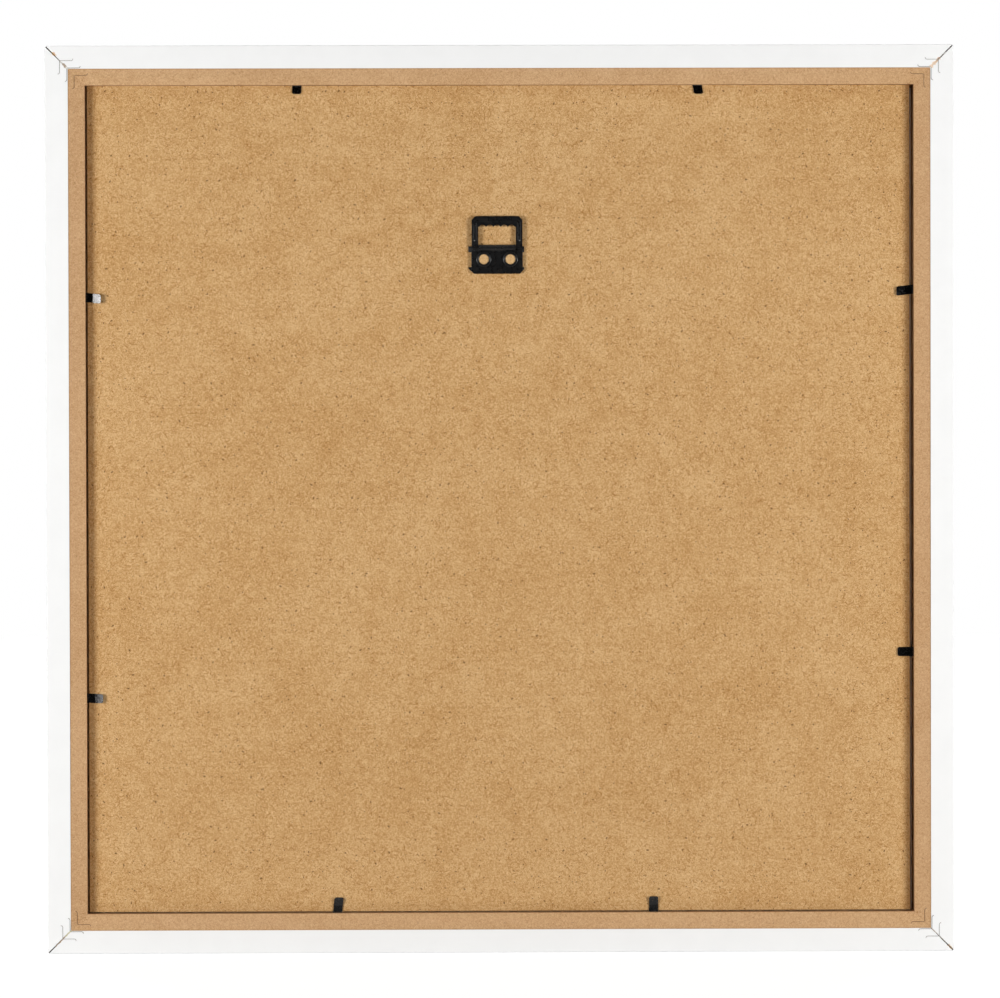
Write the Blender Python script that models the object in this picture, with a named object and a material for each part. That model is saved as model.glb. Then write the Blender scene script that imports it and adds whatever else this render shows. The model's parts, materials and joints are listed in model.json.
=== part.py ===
import math

import bmesh
import bpy

# Sizes in metres. Left and right are as seen from behind the frame, so left is +X.
# Depth runs along +Y from the front face to the back, and +Z is up.

# The picture format and the room round it
picture_width = 0.500
picture_height = 0.500
rebate_play = 0.002

# The moulding's section
moulding_width = 0.030
moulding_depth = 0.018
lip_width = 0.006
rebate_depth = 0.0112
front_edge_radius = 0.0016
sight_edge_radius = 0.0011
back_edge_radius = 0.0004

# The foil round the moulding, and the bare band that it leaves on the back
foil_thickness = 0.0003
foil_bond = 0.0002
foil_on_back = 0.0139
bare_band_step = 0.0001

# Each mitre is a little open at the outer corner
mitre_gap_outer = 0.0007
mitre_gap_sight = 0.0001

# What lies in the rebate
glass_thickness = 0.002
glass_edge_seam = 0.0003
sheet_thickness = 0.0003
board_thickness = 0.003
board_gap_left = 0.0012
board_gap_right = 0.0024
board_gap_top = 0.0003
board_gap_bottom = 0.0009
seat_gap = 0.0003
fine_gap = 0.00015

# The V-nails across each mitre, driven into slots that they cut themselves
nail_thickness = 0.00025
nail_gap = 0.00006
nail_height = 0.010
nail_leg = 0.0081
nail_curl_radius = 0.0011
nail_set = 0.0002
first_nail = 0.0090
nail_pitch = 0.0044
nails_per_corner = 3

# The flexible points
point_width = 0.0056
point_thickness = 0.0004
point_corner_radius = 0.0013
point_bend_from_wall = 0.0008
tang_length = 0.010

# The hanger's place on the board, and its sheet
hanger_offset = 0.0016
hanger_axis_height = 0.1526
leaf_thickness = 0.0007
leaf_width = 0.0311
leaf_length = 0.0159
leaf_corner_cut = 0.0017
fold_gap = 0.00015
knuckle_play = 0.0002
knuckle_wrap = 230.0

# The ears of the rear leaf
ear_reach = 0.00135
ear_inset = 0.00005
rear_leaf_shift = 0.0005
upper_ear_top = 0.0008
upper_ear_bottom = -0.0028
lower_ear_top = -0.0118
lower_ear_bottom = -0.0142

# The hanger's loop
loop_thickness = 0.0009
loop_width = 0.0308
loop_rise = 0.0190
loop_corner_cut = 0.0022
loop_leg = 0.0040
cross_bar = 0.0012
window_corner_radius = 0.0008
comb_bar = 0.00515
comb_pitch = 0.0044
comb_notches = 5
comb_depth = 0.00125
tooth_tip = 0.0005
comb_shoulder = 0.0002
bead_width = 0.0018
bead_height = 0.00035
bead_start = 0.0038
bead_tip_share = 0.3
bead_turn_radius = 0.0018

# The hanger's rivets
rivet_steps = 28
rivet_pitch = 0.0161
rivet_drop = 0.0071
rivet_bore_radius = 0.0031
rivet_wall = 0.0004
rivet_flange_radius = 0.0046
rivet_crown = 0.0006
rivet_bite = 0.0022
slug_rise = 0.0012

# Colour, roughness and metallic value of each finish
finishes = {
    "mdf": ((0.57, 0.34, 0.17), 0.85, 0.0),
    "board": ((0.56, 0.33, 0.14), 0.88, 0.0),
    "foil": ((0.90, 0.90, 0.88), 0.45, 0.0),
    "glass": ((0.90, 0.95, 0.94), 0.05, 0.0),
    "paper": ((0.86, 0.86, 0.83), 0.90, 0.0),
    "nail": ((0.30, 0.27, 0.24), 0.45, 1.0),
    "point": ((0.10, 0.10, 0.11), 0.35, 1.0),
    "hanger": ((0.012, 0.012, 0.013), 0.40, 0.6),
}

# Each point: side, place along that side from its middle, reach from the wall, sideways lean, distance
# of its crease from the wall, and the angle that its tip is turned up by. On the upright sides the place
# is a height.
point_places = {
    "top_left": ("top", 0.1227, 0.0052, -2.0, 0.0026, 4.0),
    "top_right": ("top", -0.1201, 0.0055, 9.0, 0.0028, 4.0),
    "bottom_left": ("bottom", 0.0994, 0.0095, -6.5, 0.0045, 10.0),
    "bottom_right": ("bottom", -0.0926, 0.0096, 0.0, 0.0044, 12.0),
    "left_upper": ("left", 0.1229, 0.0098, -7.0, 0.0042, 24.0),
    "left_lower": ("left", -0.1201, 0.0100, -2.0, 0.0046, 18.0),
    "right_upper": ("right", 0.1268, 0.0104, 7.0, 0.0052, 9.0),
    "right_lower": ("right", -0.0932, 0.0098, 0.0, 0.0050, 3.0),
}

# Sizes that follow from those above
rebate_width = picture_width + rebate_play
rebate_height = picture_height + rebate_play
rebate_wall = moulding_width - lip_width
outer_width = rebate_width + 2 * rebate_wall
outer_height = rebate_height + 2 * rebate_wall
lip_thickness = moulding_depth - rebate_depth
core_inset = foil_thickness + foil_bond
glass_front = lip_thickness + seat_gap
sheet_front = glass_front + glass_thickness + seat_gap
board_front = sheet_front + sheet_thickness + seat_gap
board_back = board_front + board_thickness
bar_reach = math.hypot(cross_bar / 2, loop_thickness / 2)
knuckle_inner = bar_reach + knuckle_play
knuckle_outer = knuckle_inner + leaf_thickness
rear_leaf_back = board_back + fine_gap + leaf_thickness
front_leaf_front = rear_leaf_back + fold_gap
front_leaf_back = front_leaf_front + leaf_thickness
axis_depth = board_back + fine_gap + knuckle_outer
window_top = loop_rise - comb_bar
rivet_outer = rivet_bore_radius + rivet_wall
point_depth = board_back + fine_gap + point_thickness / 2

# How a piece drawn for the bottom side turns about Y to each side
side_turns = {"bottom": 0.0, "right": 90.0, "top": 180.0, "left": -90.0}


def clear_scene():
    for obj in list(bpy.data.objects):
        bpy.data.objects.remove(obj, do_unlink=True)


def finish_of(name, kind):
    colour, roughness, metallic = finishes[kind]
    material = bpy.data.materials.new(name + "_finish")
    material.use_nodes = True
    shader = material.node_tree.nodes["Principled BSDF"]
    shader.inputs["Base Color"].default_value = (*colour, 1.0)
    shader.inputs["Roughness"].default_value = roughness
    shader.inputs["Metallic"].default_value = metallic
    material.diffuse_color = (*colour, 1.0)
    return material


def add_object(name, shape, centre, kind=None):
    mesh = bpy.data.meshes.new(name)
    bmesh.ops.recalc_face_normals(shape, faces=shape.faces)
    shape.to_mesh(mesh)
    shape.free()
    obj = bpy.data.objects.new(name, mesh)
    bpy.context.scene.collection.objects.link(obj)
    obj.parent = centre
    if kind:
        mesh.materials.append(finish_of(name, kind))
    return obj


def as_cutter(obj, group):
    obj.hide_render = True
    obj.display_type = "WIRE"
    bpy.context.scene.collection.objects.unlink(obj)
    group.objects.link(obj)
    return obj


def new_group(name):
    group = bpy.data.collections.new(name)
    bpy.context.scene.collection.children.link(group)
    return group


def join_shapes(obj, others, operation):
    boolean = obj.modifiers.new(operation.lower(), "BOOLEAN")
    boolean.operation = operation
    boolean.solver = "EXACT"
    if isinstance(others, bpy.types.Collection):
        boolean.operand_type = "COLLECTION"
        boolean.collection = others
    else:
        boolean.object = others


def give_thickness(obj, thickness):
    solidify = obj.modifiers.new("thickness", "SOLIDIFY")
    solidify.thickness = thickness
    solidify.offset = 0.0
    solidify.use_even_offset = True


def arc(centre_x, centre_y, radius, start, end, steps):
    points = []
    for step in range(steps + 1):
        angle = math.radians(start + (end - start) * step / steps)
        points.append((centre_x + radius * math.cos(angle), centre_y + radius * math.sin(angle)))
    return points


# Turns corners, given as x, y and radius, into an outline whose rounded corners are arcs
def rounded(corners, steps=4):
    outline = []
    for index, (x, y, radius) in enumerate(corners):
        if radius <= 0:
            outline.append((x, y))
            continue
        before = corners[index - 1]
        after = corners[(index + 1) % len(corners)]
        to_before = math.atan2(before[1] - y, before[0] - x)
        to_after = math.atan2(after[1] - y, after[0] - x)
        turn = (to_after - to_before + math.pi) % (2 * math.pi) - math.pi
        middle = to_before + turn / 2
        reach = radius / abs(math.sin(turn / 2))
        centre_x = x + reach * math.cos(middle)
        centre_y = y + reach * math.sin(middle)
        half_sweep = math.degrees(math.pi - abs(turn)) / 2 * (1 if turn > 0 else -1)
        facing = math.degrees(middle) + 180
        outline += arc(centre_x, centre_y, radius, facing + half_sweep, facing - half_sweep, steps)
    return outline


# A flat piece: an outline in x and z, between two depths
def slab(outline, front, back):
    shape = bmesh.new()
    rim = [shape.verts.new((x, front, z)) for x, z in outline]
    face = shape.faces.new(rim)
    pushed = bmesh.ops.extrude_face_region(shape, geom=[face])["geom"]
    moved = [item for item in pushed if isinstance(item, bmesh.types.BMVert)]
    bmesh.ops.translate(shape, vec=(0, back - front, 0), verts=moved)
    return shape


# A sheet one face thick: a path in x and z, drawn out between two depths
def ribbon(path, front, back):
    shape = bmesh.new()
    points = [shape.verts.new((x, front, z)) for x, z in path]
    edges = [shape.edges.new(pair) for pair in zip(points, points[1:])]
    pushed = bmesh.ops.extrude_edge_only(shape, edges=edges)["geom"]
    moved = [item for item in pushed if isinstance(item, bmesh.types.BMVert)]
    bmesh.ops.translate(shape, vec=(0, back - front, 0), verts=moved)
    return shape


# A round piece: a profile of radius and depth, spun about a line along Y
def turned(profile, steps):
    shape = bmesh.new()
    points = [shape.verts.new((radius, depth, 0)) for radius, depth in profile]
    edges = [shape.edges.new(pair) for pair in zip(points, points[1:] + points[:1])]
    bmesh.ops.spin(
        shape,
        geom=points + edges,
        cent=(0, 0, 0),
        axis=(0, 1, 0),
        angle=2 * math.pi,
        steps=steps,
        use_merge=True,
    )
    bmesh.ops.remove_doubles(shape, verts=shape.verts, dist=0.000001)
    return shape


def disc(radius, front, back, steps):
    return slab(arc(0, 0, radius, 0, 360 - 360 / steps, steps - 1), front, back)


def shade_round(obj, angle=35.0):
    obj.data.shade_smooth()
    obj.data.set_sharp_from_angle(angle=math.radians(angle))


# The gap at a mitre, at a distance from the moulding's outer side
def mitre_gap(across):
    share = across / moulding_width
    return mitre_gap_outer + (mitre_gap_sight - mitre_gap_outer) * share


# A mitred length of a section given as distance from the outer side and depth
def mitred_length(section, length):
    shape = bmesh.new()
    rim = [shape.verts.new((0, depth, -across)) for across, depth in section]
    face = shape.faces.new(rim)
    pushed = bmesh.ops.extrude_face_region(shape, geom=[face])["geom"]
    far_end = {item for item in pushed if isinstance(item, bmesh.types.BMVert)}
    for vert in shape.verts:
        across = -vert.co.z
        reach = length / 2 - across - mitre_gap(across) * math.sqrt(0.5)
        vert.co.x = reach if vert in far_end else -reach
    return shape


def core_section():
    return rounded([
        (core_inset, core_inset, front_edge_radius - core_inset),
        (moulding_width - core_inset, core_inset, sight_edge_radius - core_inset),
        (moulding_width - core_inset, lip_thickness, 0),
        (rebate_wall, lip_thickness, 0),
        (rebate_wall, moulding_depth - bare_band_step, 0),
        (foil_on_back + foil_bond, moulding_depth - bare_band_step, 0),
        (foil_on_back + foil_bond, moulding_depth - core_inset, 0),
        (core_inset, moulding_depth - core_inset, back_edge_radius - core_inset),
    ])


def foil_section():
    outside = [
        (foil_on_back, moulding_depth, 0),
        (0, moulding_depth, back_edge_radius),
        (0, 0, front_edge_radius),
        (moulding_width, 0, sight_edge_radius),
        (moulding_width, lip_thickness, 0),
    ]
    inside = [
        (moulding_width - foil_thickness, lip_thickness, 0),
        (moulding_width - foil_thickness, foil_thickness, sight_edge_radius - foil_thickness),
        (foil_thickness, foil_thickness, front_edge_radius - foil_thickness),
        (foil_thickness, moulding_depth - foil_thickness, back_edge_radius - foil_thickness),
        (foil_on_back, moulding_depth - foil_thickness, 0),
    ]
    return rounded(outside + inside)


def place_on_side(obj, side, edge_reach_x, edge_reach_z, along, depth, turn):
    location = {
        "top": (along, depth, edge_reach_z),
        "bottom": (along, depth, -edge_reach_z),
        "left": (edge_reach_x, depth, along),
        "right": (-edge_reach_x, depth, along),
    }[side]
    obj.location = location
    obj.rotation_euler = (0, math.radians(turn), 0)


def make_mouldings(centre, nail_pockets, point_slots):
    for side, turn in side_turns.items():
        length = outer_width if side in ("top", "bottom") else outer_height
        rail = add_object("rail_" + side, mitred_length(core_section(), length), centre, "mdf")
        foil = add_object("foil_" + side, mitred_length(foil_section(), length), centre, "foil")
        for piece in (rail, foil):
            place_on_side(piece, side, outer_width / 2, outer_height / 2, 0, 0, turn + 180)
            join_shapes(piece, nail_pockets, "DIFFERENCE")
            shade_round(piece)
        join_shapes(rail, point_slots, "DIFFERENCE")


# The path of one V-nail in x and z: a curl, a leg, the apex on the mitre, the other leg and its curl
def nail_path(to_side, to_top, from_edge, extra):
    apex_x = outer_width / 2 - from_edge
    apex_z = outer_height / 2 - from_edge
    leg = nail_leg - nail_curl_radius
    curl_end = 90.0 + math.degrees(extra / nail_curl_radius)
    curl = arc(0, 0, nail_curl_radius, -90, curl_end - 90, 3)
    along_top = [(apex_x - leg - x, apex_z + nail_curl_radius + z) for x, z in curl]
    along_side = [(apex_x + nail_curl_radius + z, apex_z - leg - x) for x, z in curl]
    path = list(reversed(along_top)) + [(apex_x, apex_z)] + along_side
    return [(to_side * x, to_top * z) for x, z in path]


def make_nails(centre, nail_pockets):
    bottom = moulding_depth - nail_set - nail_height
    for side_name, to_side in (("left", 1), ("right", -1)):
        for top_name, to_top in (("top", 1), ("bottom", -1)):
            for number in range(nails_per_corner):
                from_edge = first_nail + nail_pitch * number
                name = f"vnail_{top_name}_{side_name}_{number + 1}"
                path = nail_path(to_side, to_top, from_edge, 0)
                nail = add_object(name, ribbon(path, bottom, bottom + nail_height), centre, "nail")
                give_thickness(nail, nail_thickness)
                wider = nail_path(to_side, to_top, from_edge, nail_gap)
                hollow = ribbon(wider, bottom - nail_gap, moulding_depth + seat_gap)
                pocket = as_cutter(add_object(name + "_pocket", hollow, centre), nail_pockets)
                give_thickness(pocket, nail_thickness + 2 * nail_gap)


# A point's outline from its bend to its tip: distance along the strip and half width
def point_stations(reach, crease):
    half = point_width / 2
    straight = reach - point_corner_radius
    corner = arc(straight, half - point_corner_radius, point_corner_radius, 90, 0, 3)
    return [(0, half), (crease, half)] + corner


# A strip from stations, leaning sideways and turned up past its crease, as a sheet one face thick
def point_blade(reach, lean, crease, tip_turn):
    shape = bmesh.new()
    rise = math.sin(math.radians(tip_turn))
    run = math.cos(math.radians(tip_turn))
    pairs = []
    for along, half in point_stations(reach, crease):
        past = max(0.0, along - crease)
        out = along - past + past * run
        sideways = out * math.tan(math.radians(lean))
        up = past * rise
        pairs.append([shape.verts.new((sideways + side * half, up, out)) for side in (-1, 1)])
    for near, far in zip(pairs, pairs[1:]):
        shape.faces.new((near[0], near[1], far[1], far[0]))
    return shape


# The driven part of a point, or the slot round it, from one distance to another behind the bend
def point_tang(lean, start, end, half_width, half_thickness):
    slope = math.tan(math.radians(lean))
    outline = [
        (start * slope - half_width, start),
        (start * slope + half_width, start),
        (end * slope + half_width, end),
        (end * slope - half_width, end),
    ]
    return slab(outline, -half_thickness, half_thickness)


def make_points(centre, point_slots):
    bend_x = rebate_width / 2 - point_bend_from_wall
    bend_z = rebate_height / 2 - point_bend_from_wall
    half = point_width / 2
    for name, (side, along, reach, lean, crease, tip_turn) in point_places.items():
        length = reach - point_bend_from_wall
        shape = point_blade(length, lean, crease - point_bend_from_wall, tip_turn)
        blade = add_object("tab_" + name, shape, centre, "point")
        give_thickness(blade, point_thickness)
        tang_end = -point_bend_from_wall - tang_length
        shape = point_tang(lean, tang_end, -seat_gap, half, point_thickness / 2)
        tang = add_object("tang_" + name, shape, centre, "point")
        slot_half = point_thickness / 2 + seat_gap
        shape = point_tang(lean, tang_end - seat_gap, 0, half + seat_gap, slot_half)
        slot = as_cutter(add_object("slot_" + name, shape, centre), point_slots)
        for piece in (blade, tang, slot):
            place_on_side(piece, side, bend_x, bend_z, along, point_depth, side_turns[side])


def rectangle(left, right, bottom, top):
    return [(-right, bottom), (left, bottom), (left, top), (-right, top)]


def make_glass(centre):
    bottom = seat_gap - rebate_height / 2
    outline = rectangle(picture_width / 2, picture_width / 2, bottom, bottom + picture_height)
    shape = slab(outline, glass_front, glass_front + glass_thickness)
    bmesh.ops.bevel(
        shape,
        geom=list(shape.edges),
        offset=glass_edge_seam,
        segments=1,
        profile=0.5,
        affect="EDGES",
    )
    add_object("glass_pane", shape, centre, "glass")


def make_sheet(centre):
    bottom = seat_gap - rebate_height / 2
    outline = rectangle(picture_width / 2, picture_width / 2, bottom, bottom + picture_height)
    shape = slab(outline, sheet_front, sheet_front + sheet_thickness)
    add_object("picture_sheet", shape, centre, "paper")


def rivet_places():
    height = hanger_axis_height - rivet_drop
    return {
        "left": (hanger_offset + rivet_pitch / 2, 0, height),
        "right": (hanger_offset - rivet_pitch / 2, 0, height),
    }


# The board, with a ring pressed into it by each rivet and the slug that stands in the rivet's bore
def make_board(centre):
    outline = rectangle(
        rebate_width / 2 - board_gap_left,
        rebate_width / 2 - board_gap_right,
        board_gap_bottom - rebate_height / 2,
        rebate_height / 2 - board_gap_top,
    )
    board = add_object("backboard", slab(outline, board_front, board_back), centre, "board")
    ring_bottom = board_back - rivet_bite - fine_gap
    for name, place in rivet_places().items():
        shape = disc(rivet_outer + fine_gap, ring_bottom, board_back + seat_gap, rivet_steps)
        ring = as_cutter(add_object("rivet_ring_" + name, shape, centre), new_group("ring_" + name))
        ring.location = place
        join_shapes(board, ring, "DIFFERENCE")
        slug_radius = rivet_bore_radius - fine_gap
        shape = disc(slug_radius, ring_bottom - fine_gap, board_back + slug_rise, rivet_steps)
        slug = as_cutter(add_object("rivet_slug_" + name, shape, centre), new_group("slug_" + name))
        slug.location = place
        join_shapes(board, slug, "UNION")


def make_rivets(centre):
    tube_bottom = board_back - rivet_bite
    seat = front_leaf_back + fine_gap
    flange_middle = (rivet_bore_radius + rivet_flange_radius) / 2
    flange_half = rivet_flange_radius - flange_middle
    crown = [
        (flange_middle + flange_half * math.cos(math.radians(angle)),
         seat + rivet_crown * math.sin(math.radians(angle)))
        for angle in (180, 155, 130, 105, 75, 50, 25, 0)
    ]
    profile = [(rivet_bore_radius, tube_bottom)] + crown
    profile += [(rivet_outer, seat), (rivet_outer, tube_bottom)]
    for name, place in rivet_places().items():
        rivet = add_object("hanger_rivet_" + name, turned(profile, rivet_steps), centre, "hanger")
        rivet.location = place
        shade_round(rivet)


# The base plate's section, from the rear leaf's foot round the knuckle to the front leaf's foot, as
# depth and height about the loop's axis
def base_path():
    middle_radius = (knuckle_inner + knuckle_outer) / 2
    rear = board_back + fine_gap + leaf_thickness / 2 - axis_depth
    front = front_leaf_front + leaf_thickness / 2 - axis_depth
    knuckle = [(-y, x) for x, y in arc(0, 0, middle_radius, 90, 90 - knuckle_wrap, 12)]
    last_depth, last_height = knuckle[-1]
    slope = math.radians(knuckle_wrap - 180)
    drop = (last_depth - front) / math.tan(slope)
    foot = (front, last_height - drop)
    return [(rear, -leaf_length)] + knuckle + [foot, (front, -leaf_length)]


# The leaf section is drawn in y and z, and drawn out along x
def leaf_ribbon(path, half_width):
    shape = bmesh.new()
    points = [shape.verts.new((-half_width, depth, height)) for depth, height in path]
    edges = [shape.edges.new(pair) for pair in zip(points, points[1:])]
    pushed = bmesh.ops.extrude_edge_only(shape, edges=edges)["geom"]
    moved = [item for item in pushed if isinstance(item, bmesh.types.BMVert)]
    bmesh.ops.translate(shape, vec=(2 * half_width, 0, 0), verts=moved)
    return shape


# The rear leaf's outline, whose ears stand out past the front leaf
def ear_outline():
    half = leaf_width / 2 - ear_reach
    reach = leaf_width / 2 + ear_reach
    right_side = [
        (leaf_width / 2, lower_ear_bottom),
        (reach, lower_ear_bottom + ear_reach),
        (reach, lower_ear_top),
        (half, lower_ear_top),
        (half, upper_ear_bottom),
        (reach, upper_ear_bottom),
        (reach, upper_ear_top),
    ]
    return right_side + [(-x, z) for x, z in reversed(right_side)]


def make_base(centre):
    half = leaf_width / 2
    place = (hanger_offset, axis_depth, hanger_axis_height)
    base = add_object("hanger_base", leaf_ribbon(base_path(), half), centre, "hanger")
    give_thickness(base, leaf_thickness)
    base.location = place
    cuts = new_group("hanger_base_cuts")
    path = base_path()
    notch_inner = loop_width / 2 - loop_leg - seat_gap
    notch_foot = path[-2][1]
    notch_front = rear_leaf_back + fold_gap / 2 - axis_depth
    far_depth = 2 * knuckle_outer
    far_side = loop_width
    for side in (-1, 1):
        outline = [
            (side * notch_inner, notch_foot),
            (side * far_side, notch_foot),
            (side * far_side, 2 * knuckle_outer),
            (side * notch_inner, 2 * knuckle_outer),
        ]
        shape = slab(outline, notch_front, far_depth)
        notch = as_cutter(add_object(f"leg_notch_{side}", shape, centre), cuts)
        outline = [
            (side * notch_inner, 0),
            (side * far_side, 0),
            (side * far_side, 2 * knuckle_outer),
            (side * notch_inner, 2 * knuckle_outer),
        ]
        shape = slab(outline, -far_depth, far_depth)
        curl_trim = as_cutter(add_object(f"curl_trim_{side}", shape, centre), cuts)
        outline = [
            (side * (half - leaf_corner_cut), -leaf_length - leaf_thickness),
            (side * (half + leaf_corner_cut), -leaf_length - leaf_thickness),
            (side * (half + leaf_corner_cut), leaf_corner_cut - leaf_length),
            (side * half, leaf_corner_cut - leaf_length),
            (side * (half - leaf_corner_cut), -leaf_length),
        ]
        shape = slab(outline, -far_depth, far_depth)
        corner = as_cutter(add_object(f"leaf_corner_{side}", shape, centre), cuts)
        for cutter in (notch, curl_trim, corner):
            cutter.location = place
    join_shapes(base, cuts, "DIFFERENCE")
    rear_front = board_back + fine_gap + ear_inset - axis_depth
    rear_back = rear_leaf_back - ear_inset - axis_depth
    shape = slab(ear_outline(), rear_front, rear_back)
    ears = as_cutter(add_object("rear_leaf_ears", shape, centre), new_group("hanger_ears"))
    ears.location = (place[0] + rear_leaf_shift, place[1], place[2])
    join_shapes(base, ears, "UNION")
    holes = new_group("rivet_holes")
    for name, spot in rivet_places().items():
        hole_radius = rivet_outer + fine_gap
        shape = disc(hole_radius, board_back - seat_gap, front_leaf_back + seat_gap, rivet_steps)
        hole = as_cutter(add_object("rivet_hole_" + name, shape, centre), holes)
        hole.location = spot
    join_shapes(base, holes, "DIFFERENCE")
    shade_round(base)


# The window's outline: square feet with small radii, and a comb of round notches along the top
def window_outline():
    half = loop_width / 2 - loop_leg
    outline = rounded([
        (-half, window_top, 0),
        (-half, cross_bar / 2, window_corner_radius),
        (half, cross_bar / 2, window_corner_radius),
        (half, window_top, 0),
    ])[1:-1]
    tip_height = window_top - comb_depth
    chord = comb_pitch - tooth_tip
    radius = (chord * chord / 4 + comb_depth * comb_depth) / (2 * comb_depth)
    spread = math.degrees(math.asin(chord / 2 / radius))
    outline.append((half, tip_height - comb_shoulder))
    for notch in reversed(range(comb_notches)):
        middle = (notch - (comb_notches - 1) / 2) * comb_pitch
        outline += arc(middle, window_top - radius, radius, 90 - spread, 90 + spread, 6)
    outline.append((-half, tip_height - comb_shoulder))
    return outline


# The stiffening bead up both legs and across the comb bar: rings of a half-round section along a path,
# each with its share of the full section, so that both ends are rounded off
def bead_shape():
    leg_middle = loop_width / 2 - loop_leg / 2
    bar_middle = loop_rise - comb_bar / 2
    turn = bead_turn_radius
    right_turn = arc(leg_middle - turn, bar_middle - turn, turn, 0, 90, 4)
    bead_end = []
    for angle in (0, 30, 60, 90):
        along = bead_width / 2 * (1 - math.cos(math.radians(angle)))
        share = max(bead_tip_share, math.sin(math.radians(angle)))
        bead_end.append((leg_middle, bead_start + along, share))
    right_half = bead_end + [(x, z, 1) for x, z in right_turn]
    path = right_half + [(-x, z, share) for x, z, share in reversed(right_half)]
    section = [(bead_width / 2 * math.cos(math.radians(angle)),
                bead_height * math.sin(math.radians(angle))) for angle in (0, 36, 72, 108, 144, 180)]
    crown = loop_thickness / 2
    shape = bmesh.new()
    rings = []
    for index, (x, z, share) in enumerate(path):
        before = path[max(0, index - 1)]
        after = path[min(len(path) - 1, index + 1)]
        heading = math.atan2(after[1] - before[1], after[0] - before[0])
        side_x, side_z = -share * math.sin(heading), share * math.cos(heading)
        ring = [shape.verts.new((x + side_x * across, crown + share * up, z + side_z * across))
                for across, up in section]
        ring += [shape.verts.new((x + side_x * across, -crown / 2, z + side_z * across))
                 for across in (-bead_width / 2, bead_width / 2)]
        rings.append(ring)
    for near, far in zip(rings, rings[1:]):
        for index in range(len(near)):
            after = (index + 1) % len(near)
            shape.faces.new((near[index], near[after], far[after], far[index]))
    shape.faces.new(rings[0])
    shape.faces.new(rings[-1])
    return shape


def make_loop(centre):
    half = loop_width / 2
    cut = loop_corner_cut
    softness = window_corner_radius
    outline = rounded([
        (-half, -cross_bar / 2, cross_bar / 4),
        (half, -cross_bar / 2, cross_bar / 4),
        (half, loop_rise - cut, softness),
        (half - cut, loop_rise, softness),
        (cut - half, loop_rise, softness),
        (-half, loop_rise - cut, softness),
    ], 2)
    place = (hanger_offset, axis_depth, hanger_axis_height)
    shape = slab(outline, -loop_thickness / 2, loop_thickness / 2)
    loop = add_object("hanger_loop", shape, centre, "hanger")
    shape = slab(window_outline(), -loop_thickness, loop_thickness)
    window = as_cutter(add_object("loop_window", shape, centre), new_group("loop_window"))
    bead = as_cutter(add_object("loop_bead", bead_shape(), centre), new_group("loop_bead"))
    for piece in (loop, window, bead):
        piece.location = place
    join_shapes(loop, bead, "UNION")
    join_shapes(loop, window, "DIFFERENCE")
    shade_round(loop)


def main():
    clear_scene()
    centre = bpy.data.objects.new("frame_centre", None)
    bpy.context.scene.collection.objects.link(centre)
    nail_pockets = new_group("nail_pockets")
    point_slots = new_group("point_slots")
    make_nails(centre, nail_pockets)
    make_points(centre, point_slots)
    make_mouldings(centre, nail_pockets, point_slots)
    make_glass(centre)
    make_sheet(centre)
    make_board(centre)
    make_base(centre)
    make_rivets(centre)
    make_loop(centre)
    # The row's origin is the comb's middle notch, where the nail in the wall carries the frame
    centre.location = (-hanger_offset, -axis_depth, -hanger_axis_height - window_top)
    bpy.context.view_layer.update()


main()
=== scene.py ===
import bpy
import bmesh
import json
import math
from mathutils import Matrix, Quaternion, Vector


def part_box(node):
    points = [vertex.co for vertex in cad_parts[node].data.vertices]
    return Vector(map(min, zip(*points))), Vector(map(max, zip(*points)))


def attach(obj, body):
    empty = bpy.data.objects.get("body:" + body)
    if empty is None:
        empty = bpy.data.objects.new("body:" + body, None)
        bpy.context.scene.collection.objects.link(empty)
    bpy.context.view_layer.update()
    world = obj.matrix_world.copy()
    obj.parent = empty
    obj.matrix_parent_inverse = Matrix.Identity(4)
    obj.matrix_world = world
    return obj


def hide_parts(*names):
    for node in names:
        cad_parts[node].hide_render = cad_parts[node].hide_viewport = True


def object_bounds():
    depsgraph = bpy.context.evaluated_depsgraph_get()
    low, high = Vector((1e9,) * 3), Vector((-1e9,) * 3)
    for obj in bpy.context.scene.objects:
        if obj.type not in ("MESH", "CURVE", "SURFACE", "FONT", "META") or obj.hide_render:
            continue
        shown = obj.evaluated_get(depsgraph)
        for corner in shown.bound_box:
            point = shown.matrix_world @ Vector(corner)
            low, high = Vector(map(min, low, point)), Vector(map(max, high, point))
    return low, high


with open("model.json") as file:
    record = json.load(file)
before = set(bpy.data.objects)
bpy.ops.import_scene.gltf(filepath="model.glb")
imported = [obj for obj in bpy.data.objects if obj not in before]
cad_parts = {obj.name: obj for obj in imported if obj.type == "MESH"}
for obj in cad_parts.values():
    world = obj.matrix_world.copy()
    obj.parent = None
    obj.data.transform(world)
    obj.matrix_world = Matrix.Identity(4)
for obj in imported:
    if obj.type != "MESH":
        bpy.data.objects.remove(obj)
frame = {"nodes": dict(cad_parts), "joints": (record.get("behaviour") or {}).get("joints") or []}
cadLow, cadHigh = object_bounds()
nodes = frame["nodes"]
scene = bpy.context.scene

# where things are, in metres
middleX = (cadLow.x + cadHigh.x) / 2
middleZ = (cadLow.z + cadHigh.z) / 2
halfOutside = (cadHigh.x - cadLow.x) / 2
backY = cadHigh.y
seatGap, boardThickness = 0.0003, 0.003
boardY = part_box("picture_sheet")[1].y + seatGap + boardThickness
swing = [joint for joint in frame["joints"] if joint["name"] == "hanger_swing"][0]
loopAxis = Vector(swing["pos_m"])
rivetPitch, rivetDrop = 0.0161, 0.0071
rivetHalf = rivetPitch / 2
rivetHeight = loopAxis.z - rivetDrop
print("frame loaded,", len(nodes), "nodes")


# node tree helpers

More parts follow.
